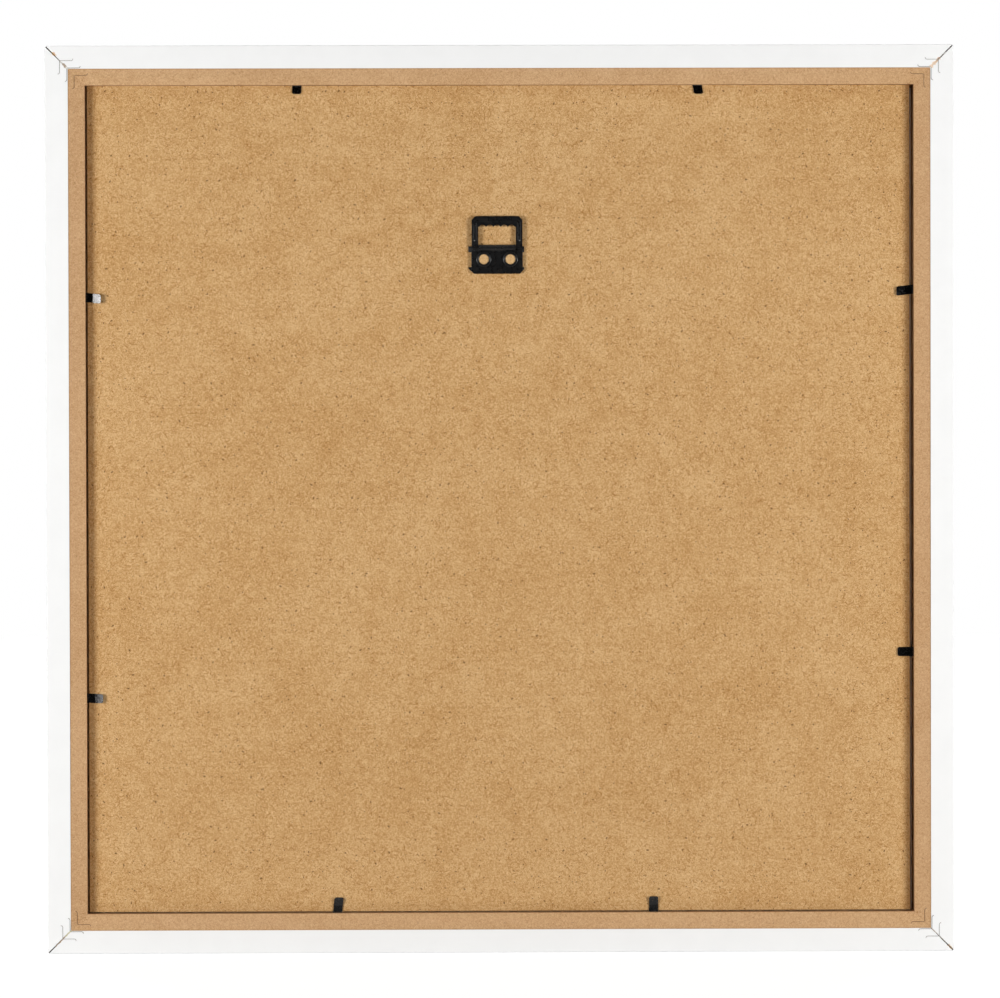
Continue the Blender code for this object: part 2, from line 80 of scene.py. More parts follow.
def addNode(tree, kind, inputs=None, **settings):
    node = tree.nodes.new("ShaderNode" + kind)
    for key, value in settings.items():
        setattr(node, key, value)
    for key, value in (inputs or {}).items():
        if isinstance(value, bpy.types.NodeSocket):
            tree.links.new(value, node.inputs[key])
        else:
            node.inputs[key].default_value = value
    return node


def calc(tree, operation, a, b=0.0, clamp=False):
    return addNode(tree, "Math", {0: a, 1: b}, operation=operation, use_clamp=clamp).outputs[0]


def times(tree, a, b, clamp=False):
    return calc(tree, "MULTIPLY", a, b, clamp)


def minus(tree, a, b, clamp=False):
    return calc(tree, "SUBTRACT", a, b, clamp)


def plus(tree, a, b, clamp=False):
    return calc(tree, "ADD", a, b, clamp)


# the largest of several values
def largest(tree, first, *others):
    for value in others:
        first = calc(tree, "MAXIMUM", first, value)
    return first


def axesOf(tree, vector):
    return addNode(tree, "SeparateXYZ", {0: vector}).outputs


def ramped(tree, value, low, high, toLow=0.0, toHigh=1.0):
    return addNode(tree, "MapRange",
                   {"Value": value, "From Min": low, "From Max": high, "To Min": toLow, "To Max": toHigh},
                   interpolation_type="SMOOTHSTEP").outputs["Result"]


# the node's colour sockets are 6 and 7, and 2 on its way out
def mixed(tree, factor, a, b, blend="MIX"):
    return addNode(tree, "Mix", {0: factor, 6: a, 7: b}, data_type="RGBA", blend_type=blend,
                   clamp_factor=True).outputs[2]


def noisy(tree, vector, scale, detail=2.0, rough=0.5, twist=0.0, space="3D"):
    return addNode(tree, "TexNoise",
                   {"Vector": vector, "Scale": scale, "Detail": detail, "Roughness": rough, "Distortion": twist},
                   noise_dimensions=space).outputs["Fac"]


def flatNoise(tree, vector, scale, detail=2.0, rough=0.5, twist=0.0):
    return noisy(tree, vector, scale, detail, rough, twist, "2D")


def tinted(tree, color, tint):
    return mixed(tree, 1.0, color, tint, "MULTIPLY")


def grey(value):
    return (value, value, value, 1.0)


def greyOf(tree, value):
    return addNode(tree, "CombineColor", {0: value, 1: value, 2: value}).outputs[0]


def newGroup(name, inputs, outputs):
    tree = bpy.data.node_groups.new(name, "ShaderNodeTree")
    kinds = {"v": "NodeSocketVector", "f": "NodeSocketFloat", "c": "NodeSocketColor"}
    for label, kind, start in inputs:
        socket = tree.interface.new_socket(label, in_out="INPUT", socket_type=kinds[kind])
        if start is not None:
            socket.default_value = start
    for label, kind in outputs:
        tree.interface.new_socket(label, in_out="OUTPUT", socket_type=kinds[kind])
    return tree, tree.nodes.new("NodeGroupInput").outputs, tree.nodes.new("NodeGroupOutput").inputs


def useGroup(tree, group, **inputs):
    return addNode(tree, "Group", inputs, node_tree=group).outputs


def newFinish(name, **settings):
    material = bpy.data.materials.new(name)
    material.use_nodes = True
    tree = material.node_tree
    shader = tree.nodes["Principled BSDF"]
    for key, value in settings.items():
        shader.inputs[key.replace("_", " ")].default_value = value
    place = addNode(tree, "TexCoord").outputs["Object"]
    return material, tree, shader, place


def setSurface(tree, shader, color, height, strength, distance, rough=None):
    bump = addNode(tree, "Bump", {"Height": height, "Strength": strength, "Distance": distance})
    tree.links.new(color, shader.inputs["Base Color"])
    tree.links.new(bump.outputs["Normal"], shader.inputs["Normal"])
    if rough is not None:
        tree.links.new(rough, shader.inputs["Roughness"])


# shared effects

# loose fibres: one short curled fibre in each cell of a flat grid, turned at random
def makeFibreScatter():
    tree, given, out = newGroup(
        "fibreScatter",
        [("Vector", "v", None), ("Cells", "f", 300.0), ("Length", "f", 0.4), ("Width", "f", 0.04),
         ("Curl", "f", 1.0), ("Seed", "f", 0.0)],
        [("Mask", "f"), ("Tone", "f")])
    shiftX, shiftY, fullTurn = 0.137, 0.0731, 6.283
    shift = addNode(tree, "CombineXYZ",
                    {"X": times(tree, given["Seed"], shiftX),
                     "Y": times(tree, given["Seed"], shiftY)}).outputs[0]
    moved = addNode(tree, "VectorMath", {0: given["Vector"], 1: shift}, operation="ADD").outputs[0]
    grid = addNode(tree, "VectorMath", {0: moved, "Scale": given["Cells"]},
                   operation="SCALE").outputs[0]
    cell = addNode(tree, "TexVoronoi", {"Vector": grid, "Scale": 1.0, "Randomness": 0.9},
                   voronoi_dimensions="2D", feature="F1").outputs
    luck = addNode(tree, "SeparateColor", {0: cell["Color"]}).outputs
    local = addNode(tree, "VectorMath", {0: grid, 1: cell["Position"]},
                    operation="SUBTRACT").outputs[0]
    turned = addNode(tree, "VectorRotate",
                     {"Vector": local, "Angle": times(tree, luck[0], fullTurn)},
                     rotation_type="Z_AXIS").outputs[0]
    axes = axesOf(tree, turned)
    along = axes["X"]
    curl = times(tree, minus(tree, luck[1], 0.5), given["Curl"])
    bent = times(tree, times(tree, along, along), curl)
    across = calc(tree, "ABSOLUTE", plus(tree, axes["Y"], bent))
    thin = minus(tree, 1.0, calc(tree, "DIVIDE", across, given["Width"]), clamp=True)
    reach = times(tree, given["Length"], ramped(tree, luck[2], 0, 1, 0.35, 1.0))
    ends = minus(tree, 1.0, calc(tree, "DIVIDE", calc(tree, "ABSOLUTE", along), reach), clamp=True)
    ends = calc(tree, "POWER", ends, 0.5)
    tree.links.new(times(tree, thin, ends), out["Mask"])
    tree.links.new(luck[1], out["Tone"])
    return tree


fibreScatter = makeFibreScatter()


# noise: scale, detail, roughness, distortion and amount
cloudLayers = ((11.0, 2.0, 0.5, 0.0, 0.50), (36.0, 3.0, 0.6, 0.0, 0.50), (75.0, 2.0, 0.5, 0.4, 0.32),
               (150.0, 2.0, 0.6, 0.6, 0.58))
feltLayers = ((480.0, 3.0, 0.75, 1.6, 0.50), (1050.0, 2.0, 0.75, 1.0, 1.40))
# fibres: cells to a metre, length, width, curl, seed, the share of cells left out, and whether pale
fibreLayers = ((150.0, 0.46, 0.055, 3.0, 8.0, 0.40, False), (205.0, 0.45, 0.068, 3.0, 9.0, 0.40, True),
               (230.0, 0.44, 0.075, 3.0, 1.0, 0.30, False), (250.0, 0.44, 0.070, 3.0, 2.0, 0.35, True),
               (390.0, 0.44, 0.105, 2.6, 3.0, 0.30, False), (430.0, 0.44, 0.11, 2.6, 4.0, 0.35, True),
               (105.0, 0.48, 0.016, 2.0, 6.0, 0.62, False), (120.0, 0.48, 0.018, 2.0, 7.0, 0.66, True))
# oblong specks of bark: cells to a metre, length, width, seed and the share left out
speckLayers = ((130.0, 0.12, 0.075, 11.0, 0.83), (300.0, 0.21, 0.12, 12.0, 0.90))
barkBrown = (0.07, 0.025, 0.004, 1.0)


# pressed wood fibre: faint clouds, a felt of fine fibres, separate ones in several sizes, and specks
def makeFibreboard():
    tree, given, out = newGroup(
        "fibreboard",
        [("Vector", "v", None), ("Base", "c", grey(0.5)), ("Deep", "c", grey(0.2)), ("Pale", "c", grey(0.7)),
         ("Blush", "c", grey(0.6)), ("Clouds", "f", 0.5), ("Felt", "f", 0.5), ("Fibres", "f", 0.5),
         ("Specks", "f", 0.5)],
        [("Color", "c"), ("Height", "f")])
    axes = axesOf(tree, given["Vector"])
    flat = addNode(tree, "CombineXYZ",
                   {"X": plus(tree, axes["X"], axes["Y"]),
                    "Y": plus(tree, axes["Z"], axes["Y"])}).outputs[0]

    def layers(sizes):
        total = 0.0
        for scale, detail, rough, twist, amount in sizes:
            one = ramped(tree, flatNoise(tree, flat, scale, detail, rough, twist), 0.3, 0.7, -amount, amount)
            total = plus(tree, one, total)
        return total

    # clouds from hand size down to a few millimetres, and the felt of curled noise
    felt = layers(feltLayers)
    level = plus(tree, times(tree, layers(cloudLayers), given["Clouds"]),
                 times(tree, felt, given["Felt"]))
    darker = times(tree, level, -1.0, clamp=True)
    lighter = times(tree, level, 1.0, clamp=True)
    color = mixed(tree, darker, given["Base"], given["Deep"])
    color = mixed(tree, lighter, color, given["Pale"])
    blushes = ramped(tree, flatNoise(tree, flat, 75.0, 2.0), 0.52, 0.72, 0.0, 0.5)
    color = mixed(tree, times(tree, blushes, given["Clouds"]), color, given["Blush"])
    # separate fibres, lying in clumps
    clumps = ramped(tree, flatNoise(tree, flat, 90.0, 2.0), 0.38, 0.62, 0.45, 1.25)
    thickness = times(tree, clumps, given["Fibres"])
    height = felt
    for cells, length, width, curl, seed, share, pale in fibreLayers:
        layer = useGroup(tree, fibreScatter, Vector=flat, Cells=cells, Length=length, Width=width, Curl=curl,
                         Seed=seed)
        some = calc(tree, "GREATER_THAN", layer["Tone"], share)
        some = times(tree, some, 0.85 if pale else 1.35)
        mask = times(tree, times(tree, layer["Mask"], some), thickness, clamp=True)
        color = mixed(tree, mask, color, given["Pale" if pale else "Deep"])
        height = plus(tree, height, times(tree, mask, 0.8 if pale else -0.5))
    bark = mixed(tree, 0.8, given["Deep"], barkBrown)
    for cells, length, width, seed, share in speckLayers:
        speck = useGroup(tree, fibreScatter, Vector=flat, Cells=cells, Length=length, Width=width, Seed=seed)
        some = calc(tree, "GREATER_THAN", speck["Tone"], share)
        mask = times(tree, times(tree, speck["Mask"], some), given["Specks"])
        color = mixed(tree, mask, color, bark)
    tree.links.new(color, out["Color"])
    tree.links.new(height, out["Height"])
    return tree


# dust: faint pale points and a thin uneven film
def makeDust():
    tree, given, out = newGroup("fineDust", [("Vector", "v", None), ("Amount", "f", 0.5)], [("Mask", "f")])
    place = given["Vector"]
    film = ramped(tree, noisy(tree, place, 300.0, 4.0, 0.7), 0.5, 0.8)
    points = ramped(tree, noisy(tree, place, 4200.0, 1.0, 0.4), 0.68, 0.78)
    both = plus(tree, times(tree, film, 0.35), points, clamp=True)
    tree.links.new(times(tree, both, given["Amount"], clamp=True), out["Mask"])
    return tree


# wear where a thin part's edges are sharp
def makeEdgeWear():
    tree, given, out = newGroup("edgeWear", [("Vector", "v", None), ("Amount", "f", 0.5), ("Patchy", "f", 900.0)],
                                [("Mask", "f")])
    sharp = ramped(tree, addNode(tree, "NewGeometry").outputs["Pointiness"], 0.52, 0.62)
    patches = ramped(tree, noisy(tree, given["Vector"], given["Patchy"], 3.0, 0.6), 0.40, 0.62)
    worn = times(tree, sharp, patches)
    tree.links.new(times(tree, worn, given["Amount"], clamp=True), out["Mask"])
    return tree


# one ragged mark along a mitre, between two distances from the frame's outer edge
def makeMitreMark():
    tree, given, out = newGroup(
        "mitreMark",
        [("Outside", "f", 0.0), ("Mitre", "f", 0.0), ("Ragged", "f", 0.5), ("From", "f", 0.0), ("To", "f", 0.01),
         ("Aside", "f", 0.0), ("Half", "f", 0.001)],
        [("Mask", "f")])
    soft = 0.0004
    start = ramped(tree, minus(tree, given["Outside"], given["From"]), 0.0, soft)
    end = ramped(tree, minus(tree, given["To"], given["Outside"]), 0.0, soft)
    half = times(tree, given["Half"], ramped(tree, given["Ragged"], 0.35, 0.65, 0.45, 1.35))
    away = calc(tree, "ABSOLUTE", minus(tree, given["Mitre"], given["Aside"]))
    width = ramped(tree, minus(tree, half, away), -soft / 2, soft / 2)
    tree.links.new(times(tree, width, times(tree, start, end)), out["Mask"])
    return tree


fibreboard = makeFibreboard()
fineDust = makeDust()
edgeWear = makeEdgeWear()
mitreMark = makeMitreMark()

# finishes; each pair of distances is where an effect starts and where it is full or gone

board = {"base": (0.60, 0.352, 0.143, 1), "deep": (0.35, 0.150, 0.026, 1), "pale": (0.80, 0.56, 0.30, 1),
         "blush": (0.57, 0.31, 0.125, 1), "clouds": 0.145, "felt": 0.36, "fibres": 0.66, "specks": 1.35,
         "cut": (0.30, 0.135, 0.045, 1), "rubbed": (0.78, 0.54, 0.28, 1), "grime": (0.90, 0.80, 0.68, 1),
         "dust": (0.87, 0.87, 0.85, 1), "grimeReach": (0.0262, 0.0335), "dustReach": (0.0235, 0.0350),
         "rubbedReach": (0.0029, 0.0033), "sawnBelow": (0.0004, 0.0001)}
rawRail = {"base": (0.59, 0.352, 0.174, 1), "deep": (0.37, 0.18, 0.060, 1), "pale": (0.76, 0.52, 0.30, 1),
           "blush": (0.63, 0.33, 0.18, 1), "clouds": 0.09, "felt": 0.28, "fibres": 0.28, "specks": 0.4,
           "cut": (0.30, 0.140, 0.050, 1), "torn": (0.36, 0.16, 0.045, 1), "upright": (0.96, 0.955, 0.95, 1),
           "level": (1.02, 1.03, 1.03, 1), "mitreLine": (-0.0001, 0.0001), "glueLine": (0.0143, 0.0149),
           "chipReach": (0.0030, 0.0075), "chipsFrom": (0.0175, 0.0195), "sawnBelow": (0.0007, 0.0003)}


# a place's axes, and its distances from the frame's middle, from its outer edge and from the nearest mitre,
# where the last is above zero on the upright sides
def edgeDistances(tree, place):
    axes = axesOf(tree, place)
    sideways = calc(tree, "ABSOLUTE", minus(tree, axes["X"], middleX))
    upwards = calc(tree, "ABSOLUTE", minus(tree, axes["Z"], middleZ))
    return {"axes": axes, "sideways": sideways, "mitre": minus(tree, sideways, upwards),
            "outside": minus(tree, halfOutside, largest(tree, sideways, upwards))}


def fibreboardColor(tree, place, look):
    surface = useGroup(tree, fibreboard, Vector=place, **{label: look[label.lower()] for label in (
        "Base", "Deep", "Pale", "Blush", "Clouds", "Felt", "Fibres", "Specks")})
    return surface["Color"], surface["Height"]


def sawnEdge(tree, axes, face, look):
    start, end = look["sawnBelow"]
    return ramped(tree, axes["Y"], face - start, face - end, 1.0, 0.0)


# the thin board: its sawn edges are darker, painted shade darkens it along the upright sides and faintly along the
# level ones, and painted light makes it paler inside the rivets
def makeBoardFinish():
    material, tree, shader, place = newFinish("thinFibreboard", Roughness=0.86, Specular_IOR_Level=0.25)
    color, height = fibreboardColor(tree, place, board)
    where = edgeDistances(tree, place)
    axes = where["axes"]
    fromSide = minus(tree, halfOutside, where["sideways"])
    fromLevel = plus(tree, fromSide, where["mitre"])
    # painted shade along the upright sides, where the rebate walls shade the board
    uneven = ramped(tree, noisy(tree, place, 160.0, 3.0, 0.6), 0.3, 0.7, 0.6, 1.0)
    grime = times(tree, ramped(tree, fromSide, *board["grimeReach"], 1.0, 0.0), uneven)
    color = mixed(tree, times(tree, grime, 0.9), color, tinted(tree, color, board["grime"]))
    # painted shade, fainter, along the level sides next to the rebate walls
    paintedShade = ramped(tree, fromLevel, *board["dustReach"], 0.9, 0.0)
    color = mixed(tree, paintedShade, color, tinted(tree, color, board["dust"]))
    # painted light: the board is paler inside the rivets, where their walls shade it
    aside = minus(tree, calc(tree, "ABSOLUTE", minus(tree, axes["X"], loopAxis.x)), rivetHalf)
    above = minus(tree, axes["Z"], rivetHeight)
    fromBore = calc(tree, "SQRT", plus(tree, times(tree, aside, aside), times(tree, above, above)))
    color = mixed(tree, ramped(tree, fromBore, *board["rubbedReach"], 0.35, 0.0), color, board["rubbed"])
    sawn = sawnEdge(tree, axes, boardY, board)
    color = mixed(tree, times(tree, sawn, 0.85), color, board["cut"])
    setSurface(tree, shader, color, height, 0.35, 0.00006)
    return material


# the rails: milled smooth on the back, darker in the rebate, with a thin line of glue along the wrap's edge
def makeRailFinish():
    material, tree, shader, place = newFinish("milledFibreboard", Roughness=0.82, Specular_IOR_Level=0.25)
    color, height = fibreboardColor(tree, place, rawRail)
    where = edgeDistances(tree, place)
    mitre, outside = where["mitre"], where["outside"]
    tint = mixed(tree, ramped(tree, mitre, *rawRail["mitreLine"]), rawRail["level"], rawRail["upright"])
    color = tinted(tree, color, tint)
    line = times(tree, ramped(tree, outside, *rawRail["glueLine"], 0.32, 0.0),
                 ramped(tree, noisy(tree, place, 300.0), 0.35, 0.6, 0.4, 1.0))
    color = mixed(tree, line, color, rawRail["deep"])
    # chips that the nails have torn up beside the mitre
    chips = times(tree, ramped(tree, noisy(tree, place, 950.0, 2.0, 0.6, 0.8), 0.56, 0.64),
                  ramped(tree, calc(tree, "ABSOLUTE", mitre), *rawRail["chipReach"], 1.0, 0.0))
    chips = times(tree, chips, ramped(tree, outside, *rawRail["chipsFrom"]))
    color = mixed(tree, times(tree, chips, 0.75), color, rawRail["torn"])
    # the rebate's walls: darker where sawn, and darker still on the upright rails as painted shade, so paler on the
    # level rails
    sawn = sawnEdge(tree, where["axes"], backY, rawRail)
    wallShade = ramped(tree, mitre, *rawRail["mitreLine"], 0.25, 0.85)
    color = mixed(tree, times(tree, sawn, wallShade), color, rawRail["cut"])
    setSurface(tree, shader, color, height, 0.35, 0.00005)
    return material


boardFinish = makeBoardFinish()

foil = {"white": (0.955, 0.955, 0.945, 1), "rubbed": (0.74, 0.60, 0.44, 1), "dust": (0.72, 0.68, 0.60, 1),
        "roughness": 0.42, "cutEdge": (0.0002, 0.0012)}

# marks along the mitres: which side and height, from and to, how far aside, half width and colour
mitreMarks = (
    (1, 1, 0.0036, 0.0060, -0.0006, 0.0011, (0.80, 0.48, 0.22, 1)),
    (1, 1, 0.0104, 0.0128, 0.0002, 0.0011, (0.42, 0.31, 0.21, 1)),
    (-1, 1, 0.0076, 0.0138, -0.0001, 0.0013, (0.90, 0.69, 0.50, 1)),
    (-1, 1, 0.0076, 0.0092, -0.0002, 0.0007, (0.55, 0.34, 0.25, 1)),
    (1, -1, 0.0040, 0.0102, 0.0, 0.0007, (0.62, 0.42, 0.25, 1)),
    (1, -1, 0.0100, 0.0142, 0.0, 0.0006, (0.72, 0.68, 0.42, 1)),
    (-1, -1, 0.0006, 0.0036, 0.0, 0.0010, (0.80, 0.60, 0.42, 1)),
)


# colours a surface with the marks of all four mitres
def withMitreMarks(tree, place, where, color, strength):
    ragged = noisy(tree, place, 620.0, 3.0, 0.6)
    left = calc(tree, "GREATER_THAN", where["axes"]["X"], middleX)
    top = calc(tree, "GREATER_THAN", where["axes"]["Z"], middleZ)
    for across, upward, start, end, aside, half, tint in mitreMarks:
        mark = useGroup(tree, mitreMark, Outside=where["outside"], Mitre=where["mitre"], Ragged=ragged, From=start,
                        To=end, Aside=aside, Half=half)["Mask"]
        rightSide = left if across > 0 else minus(tree, 1.0, left)
        rightHeight = top if upward > 0 else minus(tree, 1.0, top)
        mark = times(tree, mark, times(tree, times(tree, rightSide, rightHeight), strength))
        color = mixed(tree, mark, color, tint)
    return color


# white wrap: smooth, with a faint uneven tone and a fine bumpy skin, and stained along the mitres
def makeFoilFinish():
    material, tree, shader, place = newFinish("whiteWrap", Roughness=foil["roughness"], Specular_IOR_Level=0.4)
    tone = ramped(tree, noisy(tree, place, 55.0, 2.0), 0.3, 0.7, 0.985, 1.0)
    white = tinted(tree, foil["white"], greyOf(tree, tone))
    where = edgeDistances(tree, place)
    color = withMitreMarks(tree, place, where, white, 0.9)
    # a trace of brown where the cut edge shows
    rubbed = times(tree, ramped(tree, calc(tree, "ABSOLUTE", where["mitre"]), *foil["cutEdge"], 0.30, 0.0),
                   ramped(tree, noisy(tree, place, 420.0, 3.0, 0.6), 0.4, 0.6))
    color = mixed(tree, rubbed, color, foil["rubbed"])
    dust = useGroup(tree, fineDust, Vector=place, Amount=0.10)
    color = mixed(tree, dust["Mask"], color, foil["dust"])
    rough = ramped(tree, noisy(tree, place, 240.0, 3.0), 0.3, 0.7, foil["roughness"] - 0.05, foil["roughness"] + 0.06)
    skin = plus(tree, noisy(tree, place, 1300.0, 2.0, 0.5),
                times(tree, noisy(tree, place, 350.0, 2.0), 0.7))
    setSurface(tree, shader, color, skin, 0.12, 0.00006, rough)
    return material


foilFinish = makeFoilFinish()

# with painted highlights at the feet of the hanger's bead, as distances from the loop's axis
blackCoat = {"black": (0.0042, 0.0042, 0.0045, 1), "worn": (0.10, 0.095, 0.09, 1), "roughness": 0.30,
             "dust": (0.25, 0.17, 0.10, 1), "bare": (0.24, 0.24, 0.235, 1), "footTop": (0.0042, 0.0047),
             "footLow": (0.0034, 0.0037), "footAside": (0.0132, 0.0137), "footOut": (0.00047, 0.00055)}


# black satin coating over pressed steel
def makeBlackCoatFinish():
    material, tree, shader, place = newFinish("blackSatinCoat", Roughness=blackCoat["roughness"],
                                              Specular_IOR_Level=0.42)
    worn = useGroup(tree, edgeWear, Vector=place, Amount=0.45, Patchy=1400.0)
    dust = useGroup(tree, fineDust, Vector=place, Amount=0.10)
    color = mixed(tree, worn["Mask"], blackCoat["black"], blackCoat["worn"])
    color = mixed(tree, dust["Mask"], color, blackCoat["dust"])
    # painted highlight: a pale spot at the two feet of the pressed bead, where the lamps would glint
    axes = axesOf(tree, place)
    top, low = [[loopAxis.z + height for height in blackCoat[key]] for key in ("footTop", "footLow")]
    out = [loopAxis.y + depth for depth in blackCoat["footOut"]]
    foot = times(tree, ramped(tree, axes["Z"], *top, 1.0, 0.0), ramped(tree, axes["Z"], *low))
    foot = times(tree, foot, ramped(tree, calc(tree, "ABSOLUTE", axes["X"]), *blackCoat["footAside"]))
    foot = times(tree, foot, ramped(tree, axes["Y"], *out))
    color = mixed(tree, foot, color, blackCoat["bare"])
    uneven = ramped(tree, noisy(tree, place, 500.0, 3.0), 0.3, 0.7, -0.05, 0.08)
    rough = plus(tree, uneven, blackCoat["roughness"])
    rough = plus(tree, rough, times(tree, dust["Mask"], 0.5), clamp=True)
    setSurface(tree, shader, color, noisy(tree, place, 5200.0), 0.10, 0.00003, rough)
    return material


blackCoatFinish = makeBlackCoatFinish()

bluedSteel = {"dark": (0.0245, 0.0237, 0.0232, 1), "mottled": (0.038, 0.037, 0.0365, 1),
              "bare": (0.30, 0.30, 0.30, 1), "scuffed": (0.085, 0.085, 0.085, 1), "roughness": 0.21}


# blued spring strip: mottled and scuffed, brighter where the edges are rubbed
def makeBluedSteelFinish():
    material, tree, shader, place = newFinish("bluedSteelStrip", Metallic=1.0, Roughness=bluedSteel["roughness"])
    worn = useGroup(tree, edgeWear, Vector=place, Amount=0.5, Patchy=1100.0)
    mottle = ramped(tree, noisy(tree, place, 900.0, 4.0, 0.7), 0.35, 0.7)
    color = mixed(tree, times(tree, mottle, 0.6), bluedSteel["dark"], bluedSteel["mottled"])
    color = mixed(tree, worn["Mask"], color, bluedSteel["bare"])
    scuffs = ramped(tree, noisy(tree, place, 2600.0, 2.0, 0.6), 0.62, 0.75, 0.0, 0.25)
    color = mixed(tree, scuffs, color, bluedSteel["scuffed"])
    rough = plus(tree, ramped(tree, mottle, 0, 1, -0.05, 0.10), bluedSteel["roughness"], clamp=True)
    setSurface(tree, shader, color, noisy(tree, place, 3000.0, 3.0, 0.6), 0.10, 0.00002, rough)
    return material


bluedSteelFinish = makeBluedSteelFinish()

blackScale = {"dark": (0.010, 0.009, 0.008, 1), "rusty": (0.028, 0.022, 0.017, 1)}


# the driven tangs keep their dull black scale
def makeScaleFinish():
    material, tree, shader, place = newFinish("blackScale", Roughness=0.6, Specular_IOR_Level=0.3)
    patches = ramped(tree, noisy(tree, place, 1500.0, 3.0, 0.6), 0.4, 0.65)
    color = mixed(tree, patches, blackScale["dark"], blackScale["rusty"])
    setSurface(tree, shader, color, patches, 0.2, 0.00002)
    return material


# each pair of colours goes from clean to rusty
nail = {"outer": ((0.42, 0.41, 0.40, 1), (0.32, 0.29, 0.26, 1)),
        "inner": ((0.30, 0.29, 0.28, 1), (0.22, 0.19, 0.165, 1)),
        "inBoard": ((0.14, 0.058, 0.016, 1), (0.27, 0.13, 0.050, 1)),
        "innerFrom": (0.0105, 0.0120), "boardFrom": (0.0140, 0.0165)}


# the V-nails' strip: dull where it cuts the white wrap, brown with fibre where it sits in bare board
def makeNailFinish():
    material, tree, shader, place = newFinish("nailStrip", Roughness=0.5, Specular_IOR_Level=0.5)
    outside = edgeDistances(tree, place)["outside"]
    rust = ramped(tree, noisy(tree, place, 1300.0, 3.0, 0.7), 0.42, 0.66)
    outer, inner, inBoard = [mixed(tree, rust, *nail[key]) for key in ("outer", "inner", "inBoard")]
    metal = mixed(tree, ramped(tree, outside, *nail["innerFrom"]), outer, inner)
    color = mixed(tree, ramped(tree, outside, *nail["boardFrom"]), metal, inBoard)
    setSurface(tree, shader, color, rust, 0.2, 0.00003, ramped(tree, rust, 0, 1, 0.38, 0.75))
    return material


# the openings that it fills are those of the solids, less a hair on each side; the colours come in pairs
glue = {"openOutside": 0.0007, "openInside": 0.0001, "mouldingWidth": 0.030, "spare": 0.00001, "foot": 0.0012,
        # the corner colours are near-black painted shade down the open mitre
        "corner": ((0.010, 0.009, 0.008, 1), (0.060, 0.040, 0.025, 1)),
        "middle": ((0.20, 0.15, 0.11, 1), (0.58, 0.51, 0.43, 1)),
        "inBoard": ((0.46, 0.26, 0.115, 1), (0.60, 0.36, 0.18, 1)), "covered": (0.88, 0.86, 0.82, 1),
        "middleFrom": (0.0030, 0.0060), "boardFrom": (0.0130, 0.0150), "fade": 0.0005}
# distance along the mitre from the corner, and how far below the back the glue stops
glueTops = ((0.0006, 0.0018), (0.0100, 0.0012), (0.0150, 0.0004), (0.0197, 0.00015), (0.0337, 0.00015),
            (0.0339, 0.0116), (0.0420, 0.0118))
# where the wrap closes over it at the top corners: which side, from and to
closedParts = (("GREATER_THAN", 0.0088, 0.0142), ("LESS_THAN", 0.0042, 0.0062), ("LESS_THAN", 0.0078, 0.0142))


# dried glue, brown further in and loaded with dust in the bare board; at the open corner it is near-black, as painted
# shade down the open mitre
def makeGlueFinish():
    material, tree, shader, place = newFinish("mitreGlue", Roughness=0.6, Specular_IOR_Level=0.3)
    where = edgeDistances(tree, place)
    axes, outside = where["axes"], where["outside"]
    patches = ramped(tree, noisy(tree, place, 620.0, 3.0, 0.65), 0.40, 0.60)
    corner, middle, inBoard = [mixed(tree, patches, *glue[key]) for key in ("corner", "middle", "inBoard")]
    color = mixed(tree, ramped(tree, outside, *glue["middleFrom"]), corner, middle)
    color = mixed(tree, ramped(tree, outside, *glue["boardFrom"]), color, inBoard)
    fade = glue["fade"]
    for side, start, end in closedParts:
        closed = times(tree, ramped(tree, outside, start, start + fade),
                       ramped(tree, outside, end - fade, end, 1.0, 0.0))
        closed = times(tree, closed, calc(tree, side, axes["X"], middleX))
        closed = times(tree, closed, calc(tree, "GREATER_THAN", axes["Z"], middleZ))
        color = mixed(tree, closed, color, glue["covered"])
    color = withMitreMarks(tree, place, where, color, 0.8)
    setSurface(tree, shader, color, patches, 0.4, 0.00006)
    return material


glueFinish = makeGlueFinish()

glass = {"tint": (0.965, 0.985, 0.975, 1), "refraction": 1.51, "roughness": 0.02}


def makeGlassFinish():
    material, tree, shader, place = newFinish("floatGlass", Base_Color=glass["tint"], IOR=glass["refraction"],
                                              Transmission_Weight=1.0, Roughness=glass["roughness"])
    smears = ramped(tree, noisy(tree, place, 35.0, 4.0, 0.7), 0.55, 0.8, 0.015, 0.06)
    tree.links.new(smears, shader.inputs["Roughness"])
    return material


paper = {"shade": (0.80, 0.79, 0.755, 1), "light": (0.84, 0.83, 0.80, 1), "tooth": (0.70, 0.68, 0.64, 1),
         "sawdust": (0.20, 0.115, 0.055, 1), "cleanFrom": 0.0010, "dustyTo": 0.0006}


def makePaperFinish():
    material, tree, shader, place = newFinish("blankCard", Roughness=0.9, Specular_IOR_Level=0.2)
    tooth = noisy(tree, place, 2200.0, 3.0, 0.6)
    clouds = ramped(tree, noisy(tree, place, 90.0, 3.0), 0.3, 0.7)
    color = mixed(tree, clouds, paper["shade"], paper["light"])
    color = mixed(tree, ramped(tree, tooth, 0.55, 0.8, 0.0, 0.2), color, paper["tooth"])
    # painted shade: the card's rim is darkened where it shows in the gaps below the board and on its left
    axes = axesOf(tree, place)
    low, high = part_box("picture_sheet")
    unshaded, paintedShade = paper["cleanFrom"], paper["dustyTo"]
    rim = largest(tree, ramped(tree, axes["Z"], low.z + paintedShade, low.z + unshaded, 1.0, 0.0),
                  ramped(tree, axes["X"], high.x - unshaded, high.x - paintedShade))
    color = mixed(tree, rim, color, paper["sawdust"])
    setSurface(tree, shader, color, tooth, 0.25, 0.00004)
    return material


